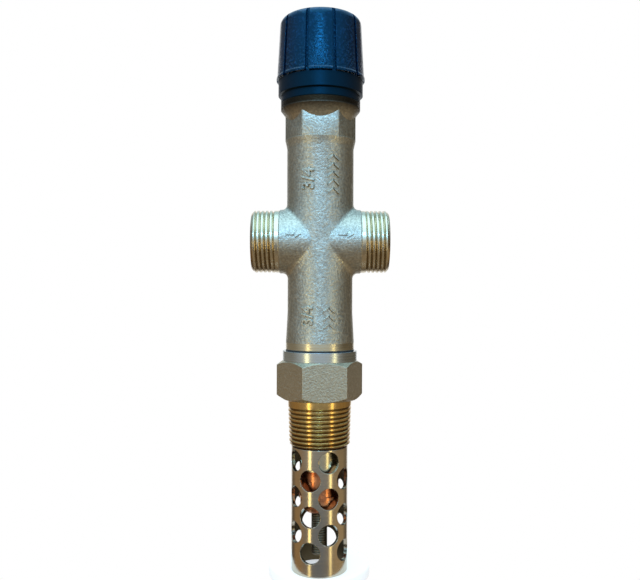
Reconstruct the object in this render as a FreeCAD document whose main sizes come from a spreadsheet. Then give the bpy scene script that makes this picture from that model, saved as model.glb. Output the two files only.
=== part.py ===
import FreeCAD, Part
import os
import re
import Sketcher

# Thermal discharge valve. Millimetres, +Z up along the valve's axis.
# The origin is on the axis at the underside of the connector's hexagon, where it meets the boiler.
# The inlet port points along -X and the outlet port along +X.

SIZES = {
    # boiler connector
    "hex_across": 32.0,
    "hex_height": 16.3,
    "hex_turn": 7.4,
    "hex_face_inset": 0.3,
    "hex_chamfer_slope": 0.8,
    "boiler_thread_diameter": 27.1,
    "boiler_thread_length": 20.2,
    "boiler_thread_taper": 16.0,
    "boiler_thread_chamfer": 1.4,
    "boiler_thread_pitch": 1.814,
    "boiler_thread_depth": 0.9,
    "boiler_thread_crest": 0.36,
    "boiler_thread_start": 37.0,
    "boiler_thread_runout": 2.6,
    "boiler_thread_fade": 0.3,
    "joint_collar_inset": 0.15,
    "joint_collar_height": 4.1,
    "joint_thread_diameter": 22.0,
    "joint_thread_length": 13.6,
    "joint_gasket_thickness": 0.7,
    "joint_relief": 2.0,
    "stem_passage_diameter": 10.0,
    # perforated sleeve
    "sleeve_diameter": 24.0,
    "sleeve_wall": 1.5,
    "sleeve_length": 52.8,
    "sleeve_edge": 0.4,
    "sleeve_neck_diameter": 20.0,
    "sleeve_neck_wall": 1.0,
    "sleeve_neck_length": 12.0,
    "sleeve_hole_diameter": 9.0,
    "sleeve_hole_pitch": 15.0,
    "sleeve_first_hole": 5.2,
    "sleeve_column_angle": 40.0,
    # thermal element
    "element_diameter": 17.0,
    "element_seat_height": 4.0,
    "guide_length": 34.0,
    "guide_spigot_diameter": 13.0,
    "guide_spigot_length": 4.0,
    "capsule_diameter": 16.4,
    "capsule_length": 18.5,
    "capsule_seam_diameter": 18.2,
    "capsule_seam_drop": 10.6,
    "capsule_seam_thickness": 1.1,
    "capsule_dome": 4.6,
    "stud_diameter": 6.8,
    "stud_length": 18.0,
    "stud_chamfer": 0.6,
    "piston_diameter": 5.0,
    "piston_gap": 0.5,
    "piston_reach": 4.0,
    # gland under the seat
    "gland_thread_diameter": 14.0,
    "gland_thread_length": 11.5,
    "gland_head_across": 17.0,
    "gland_head_height": 4.0,
    "gland_gasket_thickness": 0.8,
    "gland_ring_drop": 6.0,
    # forged body
    "body_height": 106.9,
    "body_foot_flare": 0.7,
    "body_foot_height": 2.9,
    "body_flare_height": 13.0,
    "body_draft": 0.35,
    "body_margin": 0.6,
    "body_blend_rise": 15.0,
    "shoulder_height": 85.3,
    "shoulder_rise": 3.5,
    "shoulder_step": 0.8,
    "head_flat_depth": 1.9,
    "head_flare_rise": 5.1,
    "head_rim_height": 2.6,
    "lower_chamber_diameter": 20.0,
    "partition_thickness": 5.0,
    "seat_hole_diameter": 12.0,
    "seat_lip_width": 1.5,
    "seat_lip_height": 1.0,
    "port_height": 45.9,
    "port_thread_diameter": 26.44,
    "port_thread_length": 11.0,
    "port_thread_chamfer": 1.2,
    "port_neck_land": 0.38,
    "port_neck_reach": 3.8,
    "port_neck_edge": 1.0,
    "port_fillet": 2.2,
    "port_bore_diameter": 20.0,
    "port_bore_depth": 12.0,
    "passage_diameter": 9.0,
    "passage_offset": 5.0,
    "passage_overlap": 2.0,
    # stem and disc
    "stem_diameter": 6.0,
    "stem_tip_length": 8.8,
    "stem_collar_diameter": 9.0,
    "stem_collar_height": 1.8,
    "seat_gap": 0.1,
    "washer_diameter": 15.4,
    "washer_thickness": 2.4,
    "holder_web": 2.2,
    "holder_rim": 1.0,
    "holder_rim_lift": 1.0,
    "nut_across": 8.5,
    "nut_height": 4.0,
    # setting spring and its plate
    "spring_diameter": 14.4,
    "spring_wire": 1.8,
    "spring_turns": 6.5,
    "plate_diameter": 16.2,
    "plate_thickness": 2.5,
    "plate_boss_diameter": 12.0,
    "plate_boss_height": 4.5,
    "plate_spigot_height": 2.0,
    "plate_ear_width": 4.0,
    "plate_ear_span": 19.8,
    "plate_room": 2.5,
    # bonnet and spindle
    "bonnet_thread_diameter": 21.0,
    "bonnet_skirt": 5.45,
    "bonnet_cavity_diameter": 17.0,
    "bonnet_roof_drop": 12.0,
    "bonnet_head_across": 26.0,
    "bonnet_head_height": 4.0,
    "bonnet_neck_diameter": 14.0,
    "bonnet_neck_length": 12.0,
    "bonnet_ring_drop": 8.0,
    "spindle_ring_rise": 8.0,
    "slot_clearance": 0.2,
    "spindle_diameter": 8.0,
    "spindle_thread_length": 20.0,
    "spindle_collar_diameter": 13.0,
    "spindle_collar_height": 2.0,
    "drive_square": 5.6,
    "drive_length": 8.4,
    "thrust_washer_diameter": 14.0,
    "thrust_washer_thickness": 1.0,
    "clip_diameter": 12.4,
    "clip_thickness": 1.0,
    "clip_groove_depth": 0.7,
    "clip_mouth": 5.0,
    # plastic collar and knob
    "collar_skirt": 2.4,
    "collar_edge": 0.3,
    "collar_wall": 1.95,
    "collar_step": 1.1,
    "collar_step_rise": 0.8,
    "collar_step_height": 0.4,
    "collar_rise": 7.3,
    "collar_web": 2.0,
    "collar_rim": 2.25,
    "knob_lip": 0.35,
    "knob_lip_height": 0.8,
    "knob_lip_blend": 0.6,
    "knob_overhang": 0.5,
    "knob_taper": 1.35,
    "knob_height": 26.4,
    "knob_edge": 3.2,
    "knob_wall": 3.0,
    "knob_crown": 3.2,
    "knob_hub_diameter": 14.0,
    "knob_ribs": 10,
    "knob_groove_angle": 5.0,
    "knob_groove_depth": 1.5,
    "screw_recess_diameter": 9.0,
    "screw_recess_depth": 3.2,
    "screw_diameter": 3.0,
    "screw_length": 9.0,
    "screw_head_diameter": 6.0,
    "screw_head_height": 2.0,
    "screw_cross_length": 3.4,
    "screw_cross_width": 0.8,
    "screw_cross_depth": 1.0,
    # fits and seals
    "running_clearance": 0.05,
    "moving_gap": 0.3,
    "ring_section": 1.8,
    "ring_groove_room": 0.4,
}

# Diameters that follow from the port thread: neck, body, head, collar and knob.
PORT_NECK = "port_thread_diameter + 2 * port_neck_land"
BODY_UPPER = f"{PORT_NECK} + 2 * body_margin"
BODY_LOWER = f"{BODY_UPPER} - 2 * body_draft"
BODY_FOOT_WIDTH = f"{BODY_LOWER} + 2 * body_foot_flare"
PORT_NECK_SPAN = f"{BODY_UPPER} + 2 * port_neck_reach"
PORT_SPAN = f"{PORT_NECK_SPAN} + 2 * port_thread_length"
HEAD = f"{BODY_UPPER} + 2 * shoulder_step"
COLLAR_LOWER = f"{HEAD} + 2 * collar_wall"
COLLAR_UPPER = f"{COLLAR_LOWER} + 2 * collar_step"
KNOB_WIDTH = f"{COLLAR_UPPER} + 2 * knob_overhang"

# Heights of the faces that pieces share, as formulas of the sizes.
CONNECTOR_TOP = "hex_height + joint_collar_height + joint_thread_length"
GLAND_SEAT = f"{CONNECTOR_TOP} + gland_gasket_thickness"
BODY_FOOT = "hex_height + joint_collar_height + joint_gasket_thickness"
SEAT_TOP = "port_height + partition_thickness / 2 + seat_lip_height"
WASHER_FOOT = f"{BODY_FOOT} + {SEAT_TOP} + seat_gap"
HOLDER_TOP = f"{WASHER_FOOT} + washer_thickness + holder_web"
STEM_FOOT = "element_seat_height + piston_reach"
BODY_TOP = f"{BODY_FOOT} + body_height"
BONNET_SEAT = f"{BODY_TOP} + collar_web"
SPINDLE_STEP = f"{BONNET_SEAT} - bonnet_roof_drop - thrust_washer_thickness - running_clearance"
PLATE_DROP = "spindle_collar_height + plate_room + plate_boss_height + plate_thickness"
PLATE_FOOT = f"{SPINDLE_STEP} - ({PLATE_DROP})"
BONNET_DEPTH = f"{BONNET_SEAT} - ({PLATE_FOOT}) + bonnet_skirt"
CLIP_FOOT = f"{BONNET_SEAT} + bonnet_head_height + bonnet_neck_length + moving_gap"
DRIVE_FOOT = f"{CLIP_FOOT} + clip_thickness + moving_gap"
KNOB_FOOT = f"{BODY_TOP} + collar_rise + moving_gap"
SCREW_SEAT = "knob_height - screw_recess_depth"

# Points and axes as sketch constraints number them.
START, END, CENTRE = range(1, 4)
ACROSS_AXIS, ALONG_AXIS = range(-1, -3, -1)
ORIGIN = ACROSS_AXIS

SMALLEST_CHANGE = 0.01
NAME = re.compile(r"[a-z]\w*(?![\w(])")

doc = FreeCAD.newDocument("DischargeValve")
sheet = doc.addObject("Spreadsheet::Sheet", "Sizes")
for row, (alias, size) in enumerate(SIZES.items(), start=1):
    sheet.set(f"A{row}", alias)
    sheet.set(f"B{row}", str(size))
    sheet.setAlias(f"B{row}", alias)
doc.recompute()


def bound(formula):
    """Point every name in a formula at its cell in the sheet."""
    return NAME.sub(r"Sizes.\g<0>", formula)


def number(formula):
    """Work out a formula with the sizes as they stand."""
    return float(sheet.evalExpression(bound(formula)))


def bind(item, **formulas):
    """Bind properties of an object to formulas of the sizes."""
    for name, formula in formulas.items():
        item.setExpression(name, bound(formula))


def raise_to(item, height):
    """Bind an object's height on the valve's axis."""
    item.setExpression("Placement.Base.z", bound(height))


def new_body(label, height):
    """Start a piece whose own origin stands at the given height on the axis."""
    body = doc.addObject("PartDesign::Body", label)
    body.Label = label
    raise_to(body, height)
    doc.recompute()
    return body


def origin_feature(body, role):
    """Find one of a body's own planes or axes."""
    return [item for item in body.Origin.OriginFeatures if item.Role == role][0]


def new_sketch(body, name, plane, offset="0"):
    """Start a sketch on one of the body's planes, moved along that plane's normal."""
    sketch = body.newObject("Sketcher::SketchObject", name)
    sketch.AttachmentSupport = (origin_feature(body, plane), [""])
    sketch.MapMode = "FlatFace"
    if offset != "0":
        sketch.setExpression("AttachmentOffset.Base.z", bound(offset))
    return sketch


def swing(sketch, angle):
    """Swing an upright sketch about the valve's axis."""
    sketch.AttachmentOffset = FreeCAD.Placement(FreeCAD.Vector(), FreeCAD.Rotation(FreeCAD.Vector(0, 1, 0), 1))
    sketch.setExpression("AttachmentOffset.Rotation.Angle", bound(angle))


def bind_point(sketch, geometry, point, across, along):
    """Hold a sketch point at a pair of formulas."""
    for kind, formula, axis in (("DistanceX", across, ALONG_AXIS), ("DistanceY", along, ACROSS_AXIS)):
        if formula == "0":
            sketch.addConstraint(Sketcher.Constraint("PointOnObject", geometry, point, axis))
            continue
        place = number(formula)
        index = sketch.addConstraint(Sketcher.Constraint(kind, ORIGIN, START, geometry, point, place))
        sketch.setExpression(f"Constraints[{index}]", bound(formula))


def draw_outline(sketch, corners):
    """Draw a closed outline of straight lines whose corners are pairs of formulas."""
    first = sketch.GeometryCount
    places = [FreeCAD.Vector(number(across), number(along), 0) for across, along in corners]
    for place, following in zip(places, places[1:] + places[:1]):
        sketch.addGeometry(Part.LineSegment(place, following), False)
    for index, (across, along) in enumerate(corners):
        following = first + (index + 1) % len(corners)
        sketch.addConstraint(Sketcher.Constraint("Coincident", first + index, END, following, START))
        bind_point(sketch, first + index, START, across, along)


def draw_circle(sketch, diameter, across="0", along="0"):
    """Draw a circle with its diameter and centre bound to formulas."""
    centre = FreeCAD.Vector(number(across), number(along), 0)
    ring = Part.Circle(centre, FreeCAD.Vector(0, 0, 1), number(diameter) / 2)
    index = sketch.addGeometry(ring, False)
    bind_point(sketch, index, CENTRE, across, along)
    size = sketch.addConstraint(Sketcher.Constraint("Diameter", index, number(diameter)))
    sketch.setExpression(f"Constraints[{size}]", bound(diameter))


def draw_rectangle(sketch, left, right, foot, top):
    """Draw a rectangle between four formulas."""
    draw_outline(sketch, [(left, foot), (right, foot), (right, top), (left, top)])


def hexagon(across):
    """Corners of a hexagon with two corners on the X axis and flats towards +Y and -Y."""
    far = f"({across}) / sqrt(3)"
    near = f"({across}) / sqrt(12)"
    side = f"({across}) / 2"
    return [
        (far, "0"),
        (near, side),
        (f"-{near}", side),
        (f"-{far}", "0"),
        (f"-{near}", f"-{side}"),
        (near, f"-{side}"),
    ]


def settle(body, before):
    """Recompute, and stop if the last feature added or took away nothing."""
    doc.recompute()
    if abs(body.Shape.Volume - before) < SMALLEST_CHANGE:
        raise RuntimeError(f"{body.Label}: {body.Tip.Name} changed nothing")


def volume_so_far(body):
    """Volume of a body, or zero before its first solid."""
    return body.Shape.Volume if body.Shape.Solids else 0.0


def turn(body, name, corners, kind="PartDesign::Revolution", plane="XZ_Plane"):
    """Turn an outline of radius and height about the valve's axis."""
    before = volume_so_far(body)
    sketch = new_sketch(body, f"{name}Outline", plane)
    draw_outline(sketch, corners)
    feature = body.newObject(kind, name)
    feature.Profile = sketch
    feature.ReferenceAxis = (sketch, ["V_Axis"])
    feature.Angle = 360
    settle(body, before)
    return feature


def bore(body, name, corners):
    """Turn an outline out of a body."""
    return turn(body, name, corners, "PartDesign::Groove")


def extrude(body, name, sketch, length, kind="PartDesign::Pad", reverse=False, both_ways=False):
    """Pad or pocket a sketch."""
    before = volume_so_far(body)
    feature = body.newObject(kind, name)
    feature.Profile = sketch
    feature.Reversed = reverse
    if both_ways:
        feature.SideType = "Symmetric"
    bind(feature, Length=length)
    settle(body, before)
    return feature


def cut(body, name, sketch, length, reverse=False, both_ways=False):
    """Pocket a sketch."""
    return extrude(body, name, sketch, length, "PartDesign::Pocket", reverse, both_ways)


def pattern_round(body, name, features, count, angle="360"):
    """Repeat features evenly round the valve's axis, over the full circle or part of it."""
    before = body.Shape.Volume
    pattern = body.newObject("PartDesign::PolarPattern", name)
    pattern.Originals = features
    pattern.Axis = (origin_feature(body, "Z_Axis"), [""])
    bind(pattern, Occurrences=count, Angle=angle)
    body.Tip = pattern
    settle(body, before)


def dress(body, name, kind, edges, **sizes):
    """Chamfer or fillet the listed edges of the body's last feature."""
    before = body.Shape.Volume
    feature = body.newObject(kind, name)
    feature.Base = (feature.BaseFeature, edges)
    bind(feature, **sizes)
    settle(body, before)


def round_edges(body, axis, radius, place):
    """Name the circular edges of a radius whose centres stand at a place along one axis."""
    names = []
    for index, edge in enumerate(body.Tip.Shape.Edges, start=1):
        if not isinstance(edge.Curve, Part.Circle):
            continue
        centre = getattr(edge.Curve.Center, axis)
        if abs(edge.Curve.Radius - radius) < SMALLEST_CHANGE and abs(centre - place) < SMALLEST_CHANGE:
            names.append(f"Edge{index}")
    return names


def hex_prism(body, name, across, height, turned="0"):
    """Add a hexagonal head, turned about the valve's axis."""
    before = volume_so_far(body)
    prism = body.newObject("PartDesign::AdditivePrism", name)
    prism.Polygon = 6
    bind(prism, Circumradius=f"({across}) / sqrt(3)", Height=height)
    if turned != "0":
        prism.Placement = FreeCAD.Placement(FreeCAD.Vector(), FreeCAD.Rotation(FreeCAD.Vector(0, 0, 1), 1))
        prism.setExpression("Placement.Rotation.Angle", bound(turned))
    settle(body, before)


def cut_boiler_thread(body):
    """Cut the V groove of the tapered thread, from below the nipple's foot to its runout."""
    before = body.Shape.Volume
    overshoot = "boiler_thread_crest / 4"
    half_width = "(boiler_thread_pitch - boiler_thread_crest) / 2"
    half_mouth = f"{half_width} * (boiler_thread_depth + {overshoot}) / boiler_thread_depth"
    lead = "-boiler_thread_length - boiler_thread_pitch / 2"
    crest = f"(boiler_thread_diameter + ({lead}) / boiler_thread_taper) / 2"
    section = new_sketch(body, "BoilerThreadSection", "XZ_Plane")
    swing(section, "boiler_thread_start")
    draw_outline(section, [
        (f"{crest} + {overshoot}", f"{lead} - {half_mouth}"),
        (f"{crest} + {overshoot}", f"{lead} + {half_mouth}"),
        (f"{crest} - boiler_thread_depth", lead),
    ])
    height = "boiler_thread_length + boiler_thread_pitch / 2 - boiler_thread_runout"
    groove = body.newObject("PartDesign::SubtractiveHelix", "BoilerThread")
    groove.Profile = section
    groove.ReferenceAxis = (section, ["V_Axis"])
    groove.Mode = "pitch-height-angle"
    bind(groove, Pitch="boiler_thread_pitch", Height=height,
         Angle=f"atan(boiler_thread_fade / ({height}) + 1 / (2 * boiler_thread_taper))")
    settle(body, before)


def octagon(size, across, along):
    """Corners of an octagon, by the distance over its flats and its centre."""
    far = f"({size}) / 2"
    near = f"({size}) * (sqrt(2) - 1) / 2"
    return [
        (f"{across} + {near}", f"{along} - {far}"),
        (f"{across} + {far}", f"{along} - {near}"),
        (f"{across} + {far}", f"{along} + {near}"),
        (f"{across} + {near}", f"{along} + {far}"),
        (f"{across} - {near}", f"{along} + {far}"),
        (f"{across} - {far}", f"{along} + {near}"),
        (f"{across} - {far}", f"{along} - {near}"),
        (f"{across} - {near}", f"{along} - {far}"),
    ]


def seal_ring(label, radius, height):
    """Round seal drawn with an eight-sided section, by the radius of its middle circle."""
    body = new_body(label, height)
    turn(body, f"{label}_section", octagon("ring_section", radius, "0"))
    return body


def flat_ring(label, inner, outer, thickness, height):
    """Flat washer or gasket."""
    body = new_body(label, height)
    corners = [(inner, "0"), (outer, "0"), (outer, thickness), (inner, thickness)]
    turn(body, f"{label}_ring", corners)
    return body


def make_connector():
    """Hexagon nipple: tapered boiler thread below, joint thread above, stepped bore."""
    body = new_body("connector", "0")
    thread_foot = "-boiler_thread_length"
    chamfer_top = "-boiler_thread_length + boiler_thread_chamfer"
    thread_end = "(boiler_thread_diameter - boiler_thread_length / boiler_thread_taper) / 2"
    collar = "hex_across / 2 - joint_collar_inset"
    collar_top = "hex_height + joint_collar_height"
    turn(body, "NippleOutside", [
        ("0", thread_foot),
        (f"{thread_end} - boiler_thread_chamfer", thread_foot),
        (f"{thread_end} + boiler_thread_chamfer / boiler_thread_taper / 2", chamfer_top),
        ("boiler_thread_diameter / 2", "0"),
        ("boiler_thread_diameter / 2", "hex_height"),
        (collar, "hex_height"),
        (collar, collar_top),
        ("joint_thread_diameter / 2", collar_top),
        ("joint_thread_diameter / 2", CONNECTOR_TOP),
        ("0", CONNECTOR_TOP),
    ])
    hex_prism(body, "NippleHexagon", "hex_across", "hex_height", "hex_turn")
    face = "hex_across / 2 - hex_face_inset"
    reach = "hex_across / sqrt(3) + moving_gap"
    rise = f"({reach} - {face}) * hex_chamfer_slope"
    bore(body, "HexagonLowerChamfer", [(face, "0"), (reach, "0"), (reach, rise)])
    hex_top = [(face, "hex_height"), (reach, "hex_height"), (reach, f"hex_height - ({rise})")]
    bore(body, "HexagonUpperChamfer", hex_top)
    cut_boiler_thread(body)
    neck_top = "-boiler_thread_length + sleeve_neck_length"
    gland_foot = f"{CONNECTOR_TOP} - gland_thread_length"
    bore(body, "NippleBore", [
        ("0", thread_foot),
        ("sleeve_neck_diameter / 2", thread_foot),
        ("sleeve_neck_diameter / 2", neck_top),
        ("element_diameter / 2", neck_top),
        ("element_diameter / 2", "element_seat_height"),
        ("stem_passage_diameter / 2", "element_seat_height"),
        ("stem_passage_diameter / 2", gland_foot),
        ("gland_thread_diameter / 2", gland_foot),
        ("gland_thread_diameter / 2", CONNECTOR_TOP),
        ("0", CONNECTOR_TOP),
    ])
    return body


def make_sensor_sleeve():
    """Perforated tube with a turned-down neck; its origin is at the joint with the connector."""
    body = new_body("sensor_sleeve", "-boiler_thread_length")
    outside = "sleeve_diameter / 2"
    inside = "sleeve_diameter / 2 - sleeve_wall"
    neck_inside = "sleeve_neck_diameter / 2 - sleeve_neck_wall"
    turn(body, "SleeveWall", [
        (outside, "0"),
        ("sleeve_neck_diameter / 2", "0"),
        ("sleeve_neck_diameter / 2", "sleeve_neck_length"),
        (neck_inside, "sleeve_neck_length"),
        (neck_inside, "-sleeve_wall"),
        (inside, "-sleeve_wall"),
        (inside, "-sleeve_length"),
        (f"{outside} - sleeve_edge", "-sleeve_length"),
        (outside, "-sleeve_length + sleeve_edge"),
    ])
    for name, column, drop in (("Upper", -1.5, "0"), ("Lower", -0.5, "sleeve_hole_pitch / 2")):
        sketch = new_sketch(body, f"{name}Holes", "XZ_Plane")
        swing(sketch, f"{column} * sleeve_column_angle")
        for step in range(3):
            draw_circle(sketch, "sleeve_hole_diameter", "0",
                        f"-sleeve_first_hole - {step} * sleeve_hole_pitch - {drop}")
        holes = cut(body, f"{name}Column", sketch, "sleeve_diameter + sleeve_wall", both_ways=True)
        pattern_round(body, f"{name}Columns", [holes], "2", "2 * sleeve_column_angle")
    return body


def make_element_guide():
    """Brass upper half of the element; its origin is at its seat in the connector."""
    body = new_body("element_guide", "element_seat_height")
    hole = "piston_diameter / 2 + running_clearance"
    turn(body, "GuideSection", [
        (hole, "0"),
        ("element_diameter / 2", "0"),
        ("element_diameter / 2", "-guide_length"),
        ("guide_spigot_diameter / 2", "-guide_length"),
        ("guide_spigot_diameter / 2", "-guide_length - guide_spigot_length"),
        (hole, "-guide_length - guide_spigot_length"),
    ])
    return body


def make_element_capsule():
    """Copper capsule with a rolled seam and a domed end, closed over the guide's spigot."""
    body = new_body("element_capsule", "element_seat_height - guide_length")
    seam_foot = "-capsule_seam_drop - capsule_seam_thickness"
    turn(body, "CapsuleSection", [
        ("guide_spigot_diameter / 2", "0"),
        ("capsule_diameter / 2", "0"),
        ("capsule_diameter / 2", "-capsule_seam_drop"),
        ("capsule_seam_diameter / 2", "-capsule_seam_drop"),
        ("capsule_seam_diameter / 2", seam_foot),
        ("capsule_diameter / 2", seam_foot),
        ("capsule_diameter / 2", "-capsule_length"),
        ("0", "-capsule_length"),
        ("0", "-guide_spigot_length"),
        ("guide_spigot_diameter / 2", "-guide_spigot_length"),
    ])
    foot = round_edges(body, "z", number("capsule_diameter / 2"), number("-capsule_length"))
    room = "capsule_length - capsule_seam_drop - capsule_seam_thickness"
    dress(body, "CapsuleDome", "PartDesign::Fillet", foot, Radius=f"min(capsule_dome; ({room}) * 0.98)")
    return body


def make_element_stud():
    """Threaded rod under the capsule; its origin is at the capsule's end."""
    body = new_body("element_stud", "element_seat_height - guide_length - capsule_length")
    turn(body, "StudSection", [
        ("0", "0"),
        ("stud_diameter / 2", "0"),
        ("stud_diameter / 2", "-stud_length + stud_chamfer"),
        ("stud_diameter / 2 - stud_chamfer", "-stud_length"),
        ("0", "-stud_length"),
    ])
    return body


def make_element_piston():
    """Rod that the warm element pushes up against the stem."""
    piston = doc.addObject("Part::Cylinder", "element_piston")
    piston.Label = "element_piston"
    buried = "guide_length + guide_spigot_length - piston_gap"
    bind(piston, Radius="piston_diameter / 2", Height=f"{buried} + piston_reach")
    raise_to(piston, f"element_seat_height - ({buried})")
    return piston


def make_gland_bush():
    """Screwed bush that guides and seals the stem; its origin is under its head."""
    body = new_body("gland_bush", GLAND_SEAT)
    thread = "gland_thread_diameter / 2"
    thread_foot = "-gland_thread_length"
    turn(body, "GlandThread", [("0", thread_foot), (thread, thread_foot), (thread, "0"), ("0", "0")])
    hex_prism(body, "GlandHead", "gland_head_across", "gland_head_height")
    hole = "stem_diameter / 2 + running_clearance"
    groove_foot = "-gland_ring_drop - (ring_section + ring_groove_room) / 2"
    groove_top = "-gland_ring_drop + (ring_section + ring_groove_room) / 2"
    bore(body, "GlandBore", [
        ("0", thread_foot),
        (hole, thread_foot),
        (hole, groove_foot),
        (f"{hole} + ring_section", groove_foot),
        (f"{hole} + ring_section", groove_top),
        (hole, groove_top),
        (hole, "gland_head_height"),
        ("0", "gland_head_height"),
    ])
    return body


def crossing_edges(body):
    """Name the edges where the port neck runs into the upright body."""
    names = []
    for index, edge in enumerate(body.Tip.Shape.Edges, start=1):
        if not isinstance(edge.Curve, (Part.Line, Part.Circle)):
            names.append(f"Edge{index}")
    return names


def make_valve_body():
    """Forged cross body with seat, milled head and two eccentric ports; its origin is its lower face."""
    body = new_body("valve_body", BODY_FOOT)
    foot, lower, upper, head = (f"({width}) / 2" for width in (BODY_FOOT_WIDTH, BODY_LOWER, BODY_UPPER, HEAD))
    foot_flare_top = "body_foot_height + body_flare_height"
    shoulder_top = "shoulder_height + shoulder_rise"
    turn(body, "BodyOutside", [
        ("0", "0"),
        (foot, "0"),
        (foot, "body_foot_height"),
        (lower, foot_flare_top),
        (lower, "port_height - body_blend_rise"),
        (upper, "port_height + body_blend_rise"),
        (upper, "shoulder_height"),
        (head, shoulder_top),
        (head, "body_height"),
        ("0", "body_height"),
    ])
    neck = new_sketch(body, "NeckCircle", "YZ_Plane")
    draw_circle(neck, PORT_NECK, "0", "port_height")
    extrude(body, "PortNecks", neck, PORT_NECK_SPAN, both_ways=True)
    dress(body, "PortFillets", "PartDesign::Fillet", crossing_edges(body), Radius="port_fillet")
    neck_ends = []
    for side in (1, -1):
        place = side * number(PORT_NECK_SPAN) / 2
        neck_ends += round_edges(body, "x", number(PORT_NECK) / 2, place)
    dress(body, "NeckEdges", "PartDesign::Chamfer", neck_ends, Size="port_neck_edge")
    thread = new_sketch(body, "PortThreadCircle", "YZ_Plane")
    draw_circle(thread, "port_thread_diameter", "0", "port_height")
    extrude(body, "PortThreads", thread, PORT_SPAN, both_ways=True)
    thread_ends = []
    for side in (1, -1):
        place = side * number(PORT_SPAN) / 2
        thread_ends += round_edges(body, "x", number("port_thread_diameter / 2"), place)
    dress(body, "PortThreadChamfers", "PartDesign::Chamfer", thread_ends, Size="port_thread_chamfer")
    rim_top = "body_height - collar_skirt"
    flare_top = f"{rim_top} - head_rim_height"
    flare_foot = f"{flare_top} - head_flare_rise"
    flats = new_sketch(body, "HeadFlatsOutline", "XY_Plane", shoulder_top)
    draw_outline(flats, hexagon(f"{HEAD} - 2 * head_flat_depth"))
    draw_circle(flats, f"({HEAD}) * 1.2")
    cut(body, "HeadFlats", flats, f"{flare_top} - ({shoulder_top})", reverse=True)
    rim = f"({COLLAR_LOWER}) / 2"
    turn(body, "HeadFlare", [
        ("0", flare_foot),
        (f"{head} - head_flat_depth", flare_foot),
        (rim, flare_top),
        (rim, rim_top),
        ("0", rim_top),
    ])
    partition_foot = "port_height - partition_thickness / 2"
    partition_top = "port_height + partition_thickness / 2"
    socket_top = "joint_thread_length - joint_gasket_thickness + joint_relief"
    seat_hole = "seat_hole_diameter / 2"
    seat_edge = "seat_hole_diameter / 2 + seat_lip_width"
    bore(body, "BodyBore", [
        ("0", "0"),
        ("joint_thread_diameter / 2", "0"),
        ("joint_thread_diameter / 2", socket_top),
        ("lower_chamber_diameter / 2", socket_top),
        ("lower_chamber_diameter / 2", partition_foot),
        (seat_hole, partition_foot),
        (seat_hole, SEAT_TOP),
        (seat_edge, SEAT_TOP),
        (seat_edge, partition_top),
        ("bonnet_thread_diameter / 2", partition_top),
        ("bonnet_thread_diameter / 2", "body_height"),
        ("0", "body_height"),
    ])
    mouth_end = f"({PORT_SPAN}) / 2"
    bore_end = f"{mouth_end} - port_bore_depth"
    reach = f"{bore_end} - lower_chamber_diameter / 2 + passage_overlap"
    ports = (("Outlet", "", "+", False), ("Inlet", "-", "-", True))
    for name, side, rise, reverse in ports:
        mouth = new_sketch(body, f"{name}Mouth", "YZ_Plane", f"{side}({mouth_end})")
        draw_circle(mouth, "port_bore_diameter", "0", "port_height")
        cut(body, f"{name}Bore", mouth, "port_bore_depth", reverse)
        passage = new_sketch(body, f"{name}PassageCircle", "YZ_Plane", f"{side}({bore_end})")
        draw_circle(passage, "passage_diameter", "0", f"port_height {rise} passage_offset")
        cut(body, f"{name}Passage", passage, reach, reverse)
    return body


def make_valve_stem():
    """Stem from the element's piston up through the seat, with the collar that the disc rests on."""
    body = new_body("valve_stem", STEM_FOOT)
    holder_top = f"{HOLDER_TOP} - ({STEM_FOOT})"
    collar_top = f"{holder_top} + stem_collar_height"
    stem_top = f"{holder_top} + stem_tip_length"
    turn(body, "StemSection", [
        ("0", "0"),
        ("stem_diameter / 2", "0"),
        ("stem_diameter / 2", holder_top),
        ("stem_collar_diameter / 2", holder_top),
        ("stem_collar_diameter / 2", collar_top),
        ("stem_diameter / 2", collar_top),
        ("stem_diameter / 2", stem_top),
        ("0", stem_top),
    ])
    return body


def make_disc_holder():
    """Cup that carries the rubber washer on the stem."""
    body = new_body("disc_holder", WASHER_FOOT)
    rim_inside = "washer_diameter / 2"
    rim_outside = "washer_diameter / 2 + holder_rim"
    top = "washer_thickness + holder_web"
    turn(body, "HolderCup", [
        ("stem_diameter / 2", "washer_thickness"),
        (rim_inside, "washer_thickness"),
        (rim_inside, "holder_rim_lift"),
        (rim_outside, "holder_rim_lift"),
        (rim_outside, top),
        ("stem_diameter / 2", top),
    ])
    return body


def make_disc_nut():
    """Nut that clamps the washer from below."""
    body = new_body("disc_nut", f"{WASHER_FOOT} - nut_height")
    hex_prism(body, "NutHexagon", "nut_across", "nut_height")
    radius = "stem_diameter / 2"
    bore(body, "NutBore", [("0", "0"), (radius, "0"), (radius, "nut_height"), ("0", "nut_height")])
    return body


def make_setting_spring():
    """Coil spring, its round wire drawn with eight sides, between disc holder and spring plate."""
    body = new_body("setting_spring", HOLDER_TOP)
    wire = new_sketch(body, "SpringWire", "XZ_Plane")
    draw_outline(wire, octagon("spring_wire", "(spring_diameter - spring_wire) / 2", "spring_wire / 2"))
    coil = body.newObject("PartDesign::AdditiveHelix", "SpringCoil")
    coil.Profile = wire
    coil.ReferenceAxis = (wire, ["V_Axis"])
    coil.Mode = "height-turns-angle"
    bind(coil, Height=f"{PLATE_FOOT} - ({HOLDER_TOP}) - spring_wire", Turns="spring_turns")
    settle(body, 0.0)
    return body


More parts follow.
